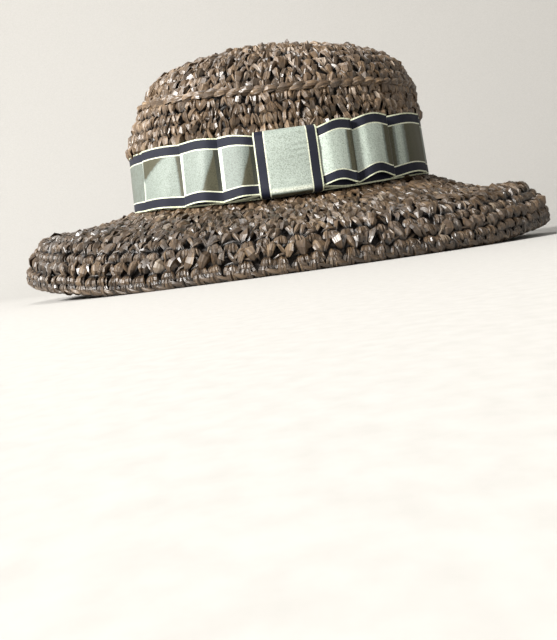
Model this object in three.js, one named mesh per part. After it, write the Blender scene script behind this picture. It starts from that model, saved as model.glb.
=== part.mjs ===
// A wide-brim hat of crocheted raffia with a ribbon band and a flat stacked bow.
// Millimetres. +X is the front, +Y the wearer's left, +Z up. The origin is on the
// surface that the hat rests on, under the middle of its outline.
import * as THREE from "three";

// The crochet
const WALL = 5;
const ROUND_PITCH = 6.2;
const RIB_DEPTH = 1.5;
const UNDER_RIBBON = 0.4;
const EDGE_WALL = 7;
const SEGMENTS = 48;
const CROWN_INNER_RINGS = 12;
const BRIM_UNDERSIDE_RINGS = 7;

// The crown's outside, from the tip down. Each row is an oval at a height above the brim.
const CROWN_OVALS = [
  { height: 105.2, halfLength: 0, halfWidth: 0 },
  { height: 104.6, halfLength: 15, halfWidth: 11 },
  { height: 102.7, halfLength: 32, halfWidth: 24 },
  { height: 99.0, halfLength: 49, halfWidth: 37 },
  { height: 93.5, halfLength: 66, halfWidth: 51 },
  { height: 86.5, halfLength: 80, halfWidth: 63 },
  { height: 76.0, halfLength: 89, halfWidth: 73 },
  { height: 62.0, halfLength: 96, halfWidth: 80.5 },
  { height: 42.0, halfLength: 101.5, halfWidth: 84.5 },
  { height: 20.0, halfLength: 102.9, halfWidth: 86 },
  { height: 0.0, halfLength: 104, halfWidth: 87 },
  { height: -4.6, halfLength: 104, halfWidth: 87 },
];
const { halfLength: HALF_LENGTH, halfWidth: HALF_WIDTH } = CROWN_OVALS.at(-1);
const SHOULDER_LEAN = 4;
const TIP_LEAN = 7;

// The foot of the crown stands this far above the floor, lower at the sides and
// higher at the front and back by the dip.
const FOOT_HEIGHT = 45;
const FOOT_DIP = 4;

// The brim's top, front to back and the same on both sides: how far it reaches from the
// crown, how far its middle and shoulder lie below the crown's foot, and the height of
// its turned-down edge above the floor.
const BRIM_SECTIONS = [
  { azimuth: 0, reach: 76, middle: 15, shoulder: 15, edge: 12 },
  { azimuth: 30, reach: 75, middle: 14, shoulder: 18, edge: 6 },
  { azimuth: 60, reach: 73, middle: 12, shoulder: 22, edge: 0 },
  { azimuth: 90, reach: 72, middle: 11, shoulder: 21, edge: 0 },
  { azimuth: 120, reach: 73, middle: 10, shoulder: 19, edge: 0 },
  { azimuth: 150, reach: 77, middle: 8, shoulder: 13, edge: 8 },
  { azimuth: 180, reach: 79, middle: 7, shoulder: 10, edge: 18 },
];
const MIDDLE_SHARE = 0.45;
const SHOULDER_SHARE = 0.8;
const SEAM_GAP = 0.3;

// The ribbon: band, three flat closed loops stacked on it, and the wrap round their middle
const RIBBON_WIDTH = 38;
const RIBBON_THICKNESS = 1;
const BAND_BOTTOM = 2.8;
const BAND_CLEARANCE = 0.4;
const BAND_TAPER = 2.1;
const BOW_AZIMUTH = THREE.MathUtils.degToRad(-88);
const LAYER_GAP = 0.4;
const LOOP_PUFF = 2.4;
const PUFF_LENGTH = 17;
const BOW_LOOPS = [
  { name: "bow_loop_long", reach: 101, floor: 1.8 },
  { name: "bow_loop_middle", reach: 63, floor: 4.5 },
  { name: "bow_loop_short", reach: 37, floor: 7.2 },
];
const KNOT_WIDTH = 35;
const KNOT_INSIDE = 10.4;
const KNOT_CORNER = 3;
const KNOT_CLEARANCE = 1.2;
const BEND_STEP = 6;

const RAFFIA = new THREE.MeshStandardMaterial({ color: 0x76614c, roughness: 0.62, metalness: 0 });
const RIBBON = new THREE.MeshStandardMaterial({ color: 0xc7cebe, roughness: 0.42, metalness: 0 });
const RIBBON_EDGE = new THREE.MeshStandardMaterial({ color: 0x3c3f55, roughness: 0.5, metalness: 0 });

// A column of the brim's table at an azimuth in radians, smooth and mirrored left to right
function brimValue(column, azimuth) {
  const last = BRIM_SECTIONS.length - 1;
  const turned = Math.abs(Math.atan2(Math.sin(azimuth), Math.cos(azimuth)));
  const place = (turned / Math.PI) * last;
  const row = Math.min(Math.floor(place), last - 1);
  const t = place - row;
  const at = (i) => BRIM_SECTIONS[i < 0 ? -i : i > last ? 2 * last - i : i][column];
  const [before, from, to, after] = [at(row - 1), at(row), at(row + 1), at(row + 2)];
  const bend = (2 * before - 5 * from + 4 * to - after) * t * t;
  const swing = (3 * from - before - 3 * to + after) * t * t * t;
  return 0.5 * (2 * from + (to - before) * t + bend + swing);
}

function footHeight(azimuth) {
  return FOOT_HEIGHT + FOOT_DIP * Math.cos(2 * azimuth);
}

// The crown's outside, at a distance from the middle of the tip along the crochet
const crownOutline = new THREE.CatmullRomCurve3(
  CROWN_OVALS.map(({ halfLength, halfWidth, height }) => new THREE.Vector3(halfLength, halfWidth, height)),
);
const CROWN_DISTANCE = crownOutline.getLength();
function crownSurface(distance, azimuth) {
  const share = THREE.MathUtils.clamp(distance / CROWN_DISTANCE, 0, 1);
  const { x: halfLength, y: halfWidth, z: height } = crownOutline.getPointAt(share);
  const { smoothstep } = THREE.MathUtils;
  const lean = SHOULDER_LEAN * smoothstep(height, 45, 75) - TIP_LEAN * smoothstep(height, 75, 103);
  const dip = FOOT_DIP * Math.cos(2 * azimuth) * smoothstep(halfLength, 35, 95);
  return new THREE.Vector3(
    halfLength * Math.cos(azimuth) + lean,
    halfWidth * Math.sin(azimuth),
    FOOT_HEIGHT + height + dip,
  );
}

// The brim's section at an azimuth: distance out from the crown, and height above the floor
function brimSection(azimuth) {
  const foot = footHeight(azimuth);
  const reach = brimValue("reach", azimuth);
  return new THREE.SplineCurve([
    new THREE.Vector2(0, foot),
    new THREE.Vector2(MIDDLE_SHARE * reach, foot - brimValue("middle", azimuth)),
    new THREE.Vector2(SHOULDER_SHARE * reach, foot - brimValue("shoulder", azimuth)),
    new THREE.Vector2(reach, Math.max(0, brimValue("edge", azimuth))),
  ]);
}
const BRIM_LENGTH = brimSection(Math.PI / 2).getLength();

// The brim's top, at a share of the way from the crown to the edge
function brimSurface(share, azimuth) {
  const { x: out, y: height } = brimSection(azimuth).getPointAt(THREE.MathUtils.clamp(share, 0, 1));
  const normal = new THREE.Vector2(
    Math.cos(azimuth) / HALF_LENGTH,
    Math.sin(azimuth) / HALF_WIDTH,
  ).normalize();
  return new THREE.Vector3(
    HALF_LENGTH * Math.cos(azimuth) + normal.x * (out + SEAM_GAP),
    HALF_WIDTH * Math.sin(azimuth) + normal.y * (out + SEAM_GAP),
    height,
  );
}

// The outward direction of a surface, from two small steps along it
function surfaceNormal(surface, along, azimuth, step) {
  const outward = surface(along + step, azimuth).sub(surface(along - step, azimuth));
  const around = surface(along, azimuth + 0.01).sub(surface(along, azimuth - 0.01));
  const normal = outward.cross(around);
  return normal.length() < 1e-6 ? new THREE.Vector3(0, 0, 1) : normal.normalize();
}

// A closed lathe of a flat pattern, with each vertex then laid in place on the hat
function layLathe(profile, segments, place) {
  const geometry = new THREE.LatheGeometry(profile, segments);
  const position = geometry.getAttribute("position");
  for (let i = 0; i < position.count; i++) {
    const across = position.getX(i);
    const along = position.getZ(i);
    const laid = place(Math.hypot(across, along), position.getY(i), Math.atan2(across, along));
    position.setXYZ(i, laid.x, laid.y, laid.z);
  }
  geometry.computeVertexNormals();
  return geometry;
}

// The same for a ring, whose pattern closes on itself clear of the lathe's axis
function layRing(pattern, segments, place) {
  const hub = 1;
  const profile = [...pattern, pattern[0]].map(([across, offset]) => new THREE.Vector2(hub + across, offset));
  return layLathe(profile, segments, (distance, offset, turn) => place(distance - hub, offset, turn));
}

// A closed extrusion with each vertex then laid in place on the hat
function layExtrusion(shape, depth, steps, place) {
  const geometry = new THREE.ExtrudeGeometry(shape, {
    depth,
    steps,
    bevelEnabled: false,
    curveSegments: 4,
  });
  const position = geometry.getAttribute("position");
  for (let i = 0; i < position.count; i++) {
    const laid = place(position.getX(i), position.getY(i), position.getZ(i));
    position.setXYZ(i, laid.x, laid.y, laid.z);
  }
  geometry.computeVertexNormals();
  return geometry;
}

// A ribbed face from its far end back to 0: a crest on each round, a valley between rounds
function ribbedRun(length) {
  const rounds = Math.round(length / ROUND_PITCH);
  const points = [];
  for (let i = 2 * rounds; i >= 0; i--) {
    points.push([(length * i) / (2 * rounds), i % 2 ? 0 : -RIB_DEPTH]);
  }
  return points;
}

// The crown: ribbed by its rounds, and plain under the ribbon
function makeCrown() {
  const bandTop = [...Array(200).keys()]
    .map((i) => (i / 200) * CROWN_DISTANCE)
    .find((distance) => crownSurface(distance, 0).z < footHeight(0) + BAND_BOTTOM + RIBBON_WIDTH);
  const innerReach = CROWN_DISTANCE - 1;
  const outline = [];
  for (let i = 0; i <= CROWN_INNER_RINGS; i++) {
    outline.push([(innerReach * i) / CROWN_INNER_RINGS, -WALL]);
  }
  outline.push([CROWN_DISTANCE, -WALL]);
  outline.push([CROWN_DISTANCE, -UNDER_RIBBON]);
  outline.push([(CROWN_DISTANCE + bandTop) / 2, -UNDER_RIBBON]);
  outline.push(...ribbedRun(bandTop));
  const profile = outline.map(([distance, offset]) => new THREE.Vector2(distance, offset));
  return layLathe(profile, SEGMENTS, (distance, offset, azimuth) => {
    const step = Math.min(2, distance);
    const normal = surfaceNormal(crownSurface, distance, azimuth, step);
    return crownSurface(distance, azimuth).addScaledVector(normal, offset);
  });
}

// The brim: ribbed on top, plain below, and thicker in its turned-down last round
function makeBrim() {
  const pattern = [];
  for (let i = 0; i <= BRIM_UNDERSIDE_RINGS; i++) {
    const share = i / BRIM_UNDERSIDE_RINGS;
    const thick = THREE.MathUtils.lerp(WALL, EDGE_WALL, THREE.MathUtils.smoothstep(share, 0.8, 1));
    pattern.push([share * BRIM_LENGTH, -thick]);
  }
  pattern.push(...ribbedRun(BRIM_LENGTH));
  return layRing(pattern, SEGMENTS, (distance, offset, azimuth) => {
    const share = distance / BRIM_LENGTH;
    const normal = surfaceNormal(brimSurface, share, azimuth, 0.02);
    const level = new THREE.Vector3(normal.x, normal.y, 0).normalize();
    const upright = new THREE.Vector3(0, 0, 1);
    normal.lerp(upright, 1 - THREE.MathUtils.smoothstep(share, 0.02, 0.2));
    normal.lerp(level, THREE.MathUtils.smoothstep(share, 0.85, 1)).normalize();
    return brimSurface(share, azimuth).addScaledVector(normal, offset);
  });
}

// A place on the ribbon: along it from the middle of the bow, out from the crown, and up
const bandRing = new THREE.EllipseCurve(
  0, 0, HALF_LENGTH, HALF_WIDTH, BOW_AZIMUTH, BOW_AZIMUTH + 2 * Math.PI,
);
const BAND_PERIMETER = bandRing.getLength();
function onRibbon(along, out, up) {
  const share = THREE.MathUtils.euclideanModulo(along / BAND_PERIMETER, 1);
  const ring = bandRing.getPointAt(share);
  const azimuth = Math.atan2(ring.y / bandRing.yRadius, ring.x / bandRing.xRadius);
  const normal = new THREE.Vector2(ring.x / bandRing.xRadius ** 2, ring.y / bandRing.yRadius ** 2);
  normal.normalize().multiplyScalar(out - (BAND_TAPER * up) / RIBBON_WIDTH);
  return new THREE.Vector3(ring.x + normal.x, ring.y + normal.y, footHeight(azimuth) + BAND_BOTTOM + up);
}

function makeBand() {
  const inside = BAND_CLEARANCE;
  const outside = BAND_CLEARANCE + RIBBON_THICKNESS;
  const pattern = [[0, inside], [0, outside], [RIBBON_WIDTH, outside], [RIBBON_WIDTH, inside]];
  return layRing(pattern, SEGMENTS, (up, out, azimuth) =>
    onRibbon((azimuth / (2 * Math.PI)) * BAND_PERIMETER, out, up),
  );
}

// One flat closed loop of the bow. Its upper layer lies flat under the next loop or the
// knot, and puffs up towards both folds.
function makeBowLoop({ reach, floor }) {
  const flat = RIBBON_THICKNESS + LAYER_GAP;
  const puff = (along) => {
    const fromFold = reach - Math.abs(along);
    return fromFold > PUFF_LENGTH ? 0 : LOOP_PUFF * Math.sin((Math.PI * fromFold) / PUFF_LENGTH) ** 0.6;
  };
  const steps = Math.round((2 * reach) / BEND_STEP);
  const places = [...Array(steps + 1).keys()].map((i) => reach * ((2 * i) / steps - 1));
  const upper = (along) => floor + flat + puff(along);
  const foldBulge = (flat + RIBBON_THICKNESS) / 2;
  const holeReach = reach - RIBBON_THICKNESS / 2;
  const outside = [
    ...places.map((s) => new THREE.Vector2(floor, s)),
    new THREE.Vector2(floor + foldBulge, reach + foldBulge),
    ...places.toReversed().map((s) => new THREE.Vector2(upper(s) + RIBBON_THICKNESS, s)),
    new THREE.Vector2(floor + foldBulge, -reach - foldBulge),
  ];
  const inside = [
    ...places.map((s) => new THREE.Vector2(floor + RIBBON_THICKNESS, s)),
    new THREE.Vector2(floor + foldBulge, holeReach + 1),
    ...places.toReversed().map((s) => new THREE.Vector2(upper(s), s)),
    new THREE.Vector2(floor + foldBulge, -holeReach - 1),
  ];
  const pattern = [[0, 0], [RIBBON_WIDTH, 0], [RIBBON_WIDTH, 1], [0, 1]];
  return layRing(pattern, outside.length, (up, face, turn) => {
    const place = Math.round((turn / (2 * Math.PI)) * outside.length);
    const i = THREE.MathUtils.euclideanModulo(place, outside.length);
    const point = inside[i].clone().lerp(outside[i], face);
    return onRibbon(point.y, point.x, up);
  });
}

// The wrap round the middle of the bow, open towards the crown, with rounded shoulders
function makeKnot() {
  const inside = RIBBON_WIDTH / 2 + KNOT_CLEARANCE;
  const outside = inside + RIBBON_THICKNESS;
  const far = KNOT_INSIDE + RIBBON_THICKNESS;
  const near = BAND_CLEARANCE;
  const shape = new THREE.Shape();
  shape.moveTo(-outside, near);
  shape.lineTo(-inside, near);
  shape.lineTo(-inside, KNOT_INSIDE - KNOT_CORNER);
  shape.quadraticCurveTo(-inside, KNOT_INSIDE, -inside + KNOT_CORNER, KNOT_INSIDE);
  shape.lineTo(inside - KNOT_CORNER, KNOT_INSIDE);
  shape.quadraticCurveTo(inside, KNOT_INSIDE, inside, KNOT_INSIDE - KNOT_CORNER);
  shape.lineTo(inside, near);
  shape.lineTo(outside, near);
  shape.lineTo(outside, far - KNOT_CORNER);
  shape.quadraticCurveTo(outside, far, outside - KNOT_CORNER, far);
  shape.lineTo(KNOT_CORNER - outside, far);
  shape.quadraticCurveTo(-outside, far, -outside, far - KNOT_CORNER);
  shape.closePath();
  return layExtrusion(shape, KNOT_WIDTH, 5, (up, out, along) =>
    onRibbon(along - KNOT_WIDTH / 2, out, up + RIBBON_WIDTH / 2),
  );
}

function named(name, geometry, material) {
  const mesh = new THREE.Mesh(geometry, material);
  mesh.name = name;
  return mesh;
}

const bow = new THREE.Group();
for (const loop of BOW_LOOPS) {
  bow.add(named(loop.name, makeBowLoop(loop), RIBBON));
}
bow.add(named("bow_knot", makeKnot(), RIBBON));

const ribbon = new THREE.Group();
ribbon.add(named("ribbon_band", makeBand(), RIBBON_EDGE));
ribbon.add(bow);

const hat = new THREE.Group();
hat.add(named("crown", makeCrown(), RAFFIA));
hat.add(named("brim", makeBrim(), RAFFIA));
hat.add(ribbon);
hat.children.forEach((piece) => {
  piece.position.x = (brimValue("reach", Math.PI) - brimValue("reach", 0)) / 2;
});

export default hat;
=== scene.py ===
# A wide-brim hat crocheted from flat brown raffia, with a striped ribbon and a flat bow.
import math

import bpy
import numpy as np
from mathutils import Euler, Matrix, Vector


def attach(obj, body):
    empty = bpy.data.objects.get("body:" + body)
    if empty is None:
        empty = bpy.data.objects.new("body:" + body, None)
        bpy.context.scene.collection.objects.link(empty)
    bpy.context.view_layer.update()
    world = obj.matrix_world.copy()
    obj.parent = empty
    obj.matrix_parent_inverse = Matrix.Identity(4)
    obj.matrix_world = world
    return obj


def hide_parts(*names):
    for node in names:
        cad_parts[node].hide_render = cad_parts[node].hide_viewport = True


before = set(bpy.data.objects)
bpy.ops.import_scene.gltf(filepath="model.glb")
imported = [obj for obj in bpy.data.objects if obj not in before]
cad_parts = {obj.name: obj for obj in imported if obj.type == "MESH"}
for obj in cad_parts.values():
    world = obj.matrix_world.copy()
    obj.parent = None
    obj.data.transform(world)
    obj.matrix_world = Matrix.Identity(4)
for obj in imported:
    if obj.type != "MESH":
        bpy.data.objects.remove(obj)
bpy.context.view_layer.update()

MM = 0.001
FULL_TURN = 2 * np.pi
SPLINE_STEPS = 40
# Angles in degrees over which a crease shades as sharp, on raffia and on ribbon
SHARP_FOLD = 16
SHARP_EDGE = 60
SEED = 17
RNG = np.random.default_rng(SEED)

# The hat's form, in millimetres, with the numbers of its solids
CROWN_OVALS = [
    # height, half length, half width
    (105.2, 0.0, 0.0),
    (104.6, 15.0, 11.0),
    (102.7, 32.0, 24.0),
    (99.0, 49.0, 37.0),
    (93.5, 66.0, 51.0),
    (86.5, 80.0, 63.0),
    (76.0, 89.0, 73.0),
    (62.0, 96.0, 80.5),
    (42.0, 101.5, 84.5),
    (20.0, 102.9, 86.0),
    (0.0, 104.0, 87.0),
    (-4.6, 104.0, 87.0),
]
HALF_LENGTH = 104.0
HALF_WIDTH = 87.0
SHOULDER_LEAN = 4.0
TIP_LEAN = 7.0
FOOT_HEIGHT = 45.0
FOOT_DIP = 4.0
BRIM_SECTIONS = {
    # one value for each 30 degrees from the front to the back
    "reach": (76, 75, 73, 72, 73, 77, 79),
    "middle": (15, 14, 12, 11, 10, 8, 7),
    "shoulder": (15, 18, 22, 21, 19, 13, 10),
    "edge": (12, 6, 0, 0, 0, 8, 18),
}
MIDDLE_SHARE = 0.45
SHOULDER_SHARE = 0.8
SHIFT = 1.5
WALL = 5.0

# The crochet
CROWN_ROUND = 6.9
CROWN_STITCH = 7.8
BRIM_ROUND = 6.2
BRIM_STITCH = 8.6
RIDGE_HEIGHT = 66.0
ROUNDS_LEAN = 5.0

# The ribbon
RIBBON_WIDTH = 38.0
BAND_BOTTOM = 2.8
BAND_TAPER = 2.1
BAND_OUT = 0.9
BOW_AZIMUTH = math.radians(-88)
RIBBON_THICKNESS = 0.45
BOW_LOOPS = {
    # how far each loop reaches from the knot's middle, where it lies, and what covers it
    "bow_loop_long": {"reach": 101.0, "floor": 2.2, "covered": 60.0, "puff": 3.2, "lift": 1.8},
    "bow_loop_middle": {"reach": 64.0, "floor": 4.9, "covered": 35.5, "puff": 3.8, "lift": 4.8},
    "bow_loop_short": {"reach": 38.0, "floor": 7.6, "covered": 15.0, "puff": 2.8, "lift": 3.6},
}
BOW_SHADES = {
    # how far from the knot's middle a painted shadow of the loop over it reaches, and how much painted
    # shade dims its left side
    "bow_loop_long": (67.4, 0.22),
    "bow_loop_middle": (41.2, 0.25),
    "bow_loop_short": (20.2, 0.40),
}
KNOT_WIDTH = 35.0
KNOT_FLOOR = 11.0

# Lowest heights of the stitches, and of the ground between them
STITCH_CLEARANCE = 0.05
GROUND_CLEARANCE = 0.3


def smooth_step(x, low, high):
    t = np.clip((x - low) / (high - low), 0.0, 1.0)
    return t * t * (3 - 2 * t)


def between(before, start, end, after, t):
    """Smooth values from start to end, which also follow their neighbours."""
    bend = (2 * before - 5 * start + 4 * end - after) * t**2
    swing = (3 * start - before - 3 * end + after) * t**3
    return 0.5 * (2 * start + (end - before) * t + bend + swing)


def spline(points):
    """A smooth curve through rows of numbers, as many close rows."""
    rows = np.asarray(points, float)
    padded = np.vstack([2 * rows[0] - rows[1], rows, 2 * rows[-1] - rows[-2]])
    t = np.linspace(0, 1, SPLINE_STEPS, endpoint=False)[:, None]
    pieces = [between(*near, t) for near in zip(padded, padded[1:], padded[2:], padded[3:])]
    return np.vstack(pieces + [rows[-1:]])


def run_length(rows):
    steps = np.linalg.norm(np.diff(rows, axis=0), axis=1)
    return np.concatenate([[0.0], np.cumsum(steps)])


def unit(vectors):
    return vectors / np.maximum(np.linalg.norm(vectors, axis=-1, keepdims=True), 1e-9)


def beside_crown(azimuth, out):
    """X and y of places at a level distance out from the crown's foot."""
    ring = np.stack([HALF_LENGTH * np.cos(azimuth), HALF_WIDTH * np.sin(azimuth)], -1)
    normal = unit(np.stack([np.cos(azimuth) / HALF_LENGTH, np.sin(azimuth) / HALF_WIDTH], -1))
    return ring + normal * out[..., None] + (SHIFT, 0)


CROWN_LINE = spline(CROWN_OVALS)
CROWN_RUN = run_length(CROWN_LINE * (1.0, math.sqrt(0.5), math.sqrt(0.5)))
CROWN_DISTANCE = CROWN_RUN[-1]
BAND_TOP = CROWN_DISTANCE - (BAND_BOTTOM + RIBBON_WIDTH + 4.6)
RIDGE_DISTANCE = np.interp(-RIDGE_HEIGHT, -CROWN_LINE[:, 0], CROWN_RUN)


def foot_height(azimuth):
    return FOOT_HEIGHT + FOOT_DIP * np.cos(2 * azimuth)


def crown_surface(distance, azimuth):
    """Points on the crown's outside, at distances from the middle of the tip."""
    height, half_length, half_width = (np.interp(distance, CROWN_RUN, column) for column in CROWN_LINE.T)
    lean = SHOULDER_LEAN * smooth_step(height, 45, 75) - TIP_LEAN * smooth_step(height, 75, 103)
    dip = FOOT_DIP * np.cos(2 * azimuth) * smooth_step(half_length, 35, 95)
    x = half_length * np.cos(azimuth) + lean + SHIFT
    y = half_width * np.sin(azimuth)
    return np.stack([x, y, FOOT_HEIGHT + height + dip], axis=-1)


def crown_rounds(distance, azimuth):
    """The crown's outside, with the rounds of crochet a little lower at the front."""
    rising = smooth_step(distance, 10, RIDGE_DISTANCE)
    rising = rising * (1 - smooth_step(distance, RIDGE_DISTANCE, BAND_TOP))
    return crown_surface(distance + ROUNDS_LEAN * rising * np.cos(azimuth), azimuth)


def brim_value(column, azimuth):
    """A column of the brim's table, smooth round the hat and the same on both sides."""
    values = BRIM_SECTIONS[column]
    around = np.array(values + values[-2:0:-1], float)
    place = np.mod(azimuth, FULL_TURN) / FULL_TURN * len(around)
    row = np.floor(place).astype(int)
    return between(*(around[(row + step) % len(around)] for step in (-1, 0, 1, 2)), place - row)


def brim_section(azimuth):
    """The brim's section at one azimuth: close points, out from the crown and up."""
    foot = foot_height(azimuth)
    reach, middle, shoulder, edge = (float(brim_value(c, azimuth)) for c in BRIM_SECTIONS)
    return spline([
        (0.0, foot),
        (MIDDLE_SHARE * reach, foot - middle),
        (SHOULDER_SHARE * reach, foot - shoulder),
        (reach, max(0.0, edge)),
    ])


BRIM_AZIMUTHS = np.linspace(0, FULL_TURN, 181)
BRIM_SHARES = np.linspace(0, 1, 61)


def brim_grid():
    """Out and height over a grid of shares and azimuths."""
    rows = []
    for azimuth in BRIM_AZIMUTHS:
        section = brim_section(azimuth)
        share = run_length(section) / run_length(section)[-1]
        rows.append([np.interp(BRIM_SHARES, share, column) for column in section.T])
    return np.array(rows)


BRIM_GRID = brim_grid()
BRIM_LENGTH = run_length(brim_section(math.pi / 2))[-1]


def brim_surface(distance, azimuth):
    """Points on the brim's top, at distances from the crown scaled to the side's length."""
    distance, azimuth = np.broadcast_arrays(distance, azimuth)
    share = np.clip(distance / BRIM_LENGTH, 0, 1) * (len(BRIM_SHARES) - 1)
    place = np.mod(azimuth, FULL_TURN) / FULL_TURN * (len(BRIM_AZIMUTHS) - 1)
    column = np.minimum(share.astype(int), len(BRIM_SHARES) - 2)
    row = np.minimum(place.astype(int), len(BRIM_AZIMUTHS) - 2)
    u, v = (share - column)[..., None], (place - row)[..., None]
    near, far = (
        (1 - u) * BRIM_GRID[ray, :, column] + u * BRIM_GRID[ray, :, column + 1]
        for ray in (row, row + 1)
    )
    values = (1 - v) * near + v * far
    return np.concatenate([beside_crown(azimuth, values[..., 0]), values[..., 1:]], axis=-1)


def frames_on(surface, distance, azimuth):
    """Places on a surface, each with its directions around, inwards and out of the surface."""
    step = np.minimum(1.5, np.maximum(distance, 0.2))
    down = unit(surface(distance + step, azimuth) - surface(distance - step, azimuth))
    around = unit(surface(distance, azimuth + 0.01) - surface(distance, azimuth - 0.01))
    out = unit(np.cross(down, around))
    return surface(distance, azimuth), around, np.cross(out, around), out


def places_round(surface, distance, spacing, phase):
    """Azimuths at an even spacing round a surface at one distance."""
    azimuths = np.linspace(0, FULL_TURN, 361)
    run = run_length(surface(np.full(361, distance), azimuths))
    count = max(5, int(round(run[-1] / spacing)))
    targets = (np.arange(count) + phase) / count * run[-1]
    return np.interp(np.mod(targets, run[-1]), run, azimuths)


def rounds_on(surface, first, last, pitch, spacing):
    """The places of the stitches of each round between two distances."""
    count = int(round((last - first) / pitch))
    for i in range(count):
        distance = first + (i + 0.5) * (last - first) / count
        azimuth = places_round(surface, distance, spacing, 0.37 * i + RNG.uniform(0, 0.2))
        shaken = azimuth + RNG.normal(0, 0.07, len(azimuth)) * FULL_TURN / len(azimuth)
        yield i, distance + RNG.normal(0, 0.45, len(azimuth)), shaken


def new_mesh(name, points, groups, uv, material, sharp=None, attribute=None):
    """A mesh that rides on the hat, from groups of faces with as many corners each."""
    corners = np.concatenate([group.ravel() for group in groups])
    sides = np.concatenate([np.full(len(group), group.shape[1]) for group in groups])
    mesh = bpy.data.meshes.new(name)
    mesh.vertices.add(len(points))
    mesh.vertices.foreach_set("co", (points * MM).astype(np.float32).ravel())
    mesh.loops.add(len(corners))
    mesh.loops.foreach_set("vertex_index", corners.astype(np.int32))
    mesh.polygons.add(len(sides))
    mesh.polygons.foreach_set("loop_start", (np.cumsum(sides) - sides).astype(np.int32))
    mesh.update(calc_edges=True)
    mesh.polygons.foreach_set("use_smooth", np.ones(len(sides), bool))
    mesh.uv_layers.new(name="UVMap").data.foreach_set("uv", uv.astype(np.float32).ravel())
    if sharp is not None:
        mesh.set_sharp_from_angle(angle=math.radians(sharp))
    if attribute is not None:
        values = mesh.attributes.new(attribute[0], "FLOAT", "POINT")
        values.data.foreach_set("value", attribute[1].astype(np.float32).ravel())
    mesh.materials.append(material)
    mesh.validate()
    piece = bpy.data.objects.new(name, mesh)
    bpy.context.scene.collection.objects.link(piece)
    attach(piece, "root")
    return piece


def stacked(*corners):
    """The corners of many faces, from pairs of arrays, in one array."""
    return np.stack([np.stack(corner, -1) for corner in corners], -2)


def ring_faces(rows, columns, closed):
    """Row, column and corners of the faces between rings of points, and from last to first if closed."""
    i, j = np.meshgrid(np.arange(rows if closed else rows - 1), np.arange(columns), indexing="ij")
    ahead, above = (i + 1) % rows * columns, (j + 1) % columns
    return i, j, np.stack([i * columns + j, ahead + j, ahead + above, i * columns + above], -1)


# Sections of a strip of raffia: places across it and over its middle, as shares of its size
FOLDED_STRIP = [(1.0, -0.25), (0.55, 0.45), (0.0, 1.0), (-0.6, 0.40), (-1.0, -0.25), (0.0, -0.6)]
PLAIN_STRIP = [(1.0, -0.2), (0.35, 0.85), (-0.40, 0.80), (-1.0, -0.2), (0.0, -0.6)]
# Directions across a strand's path
ACROSS = np.array([1.0, 0.0, 0.0])
INWARDS = np.array([0.0, 1.0, 0.0])
# Each strand has a cell of the texture to itself, in rows of this many
CELLS_IN_ROW = 97
CELL_MARGIN = 0.01
# Heights over the surface at which the crest value is 0, and the rise to 1
CREST_FOOT = -0.9
CREST_RISE = 2.9
KINK_SHARE = 0.22


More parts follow.
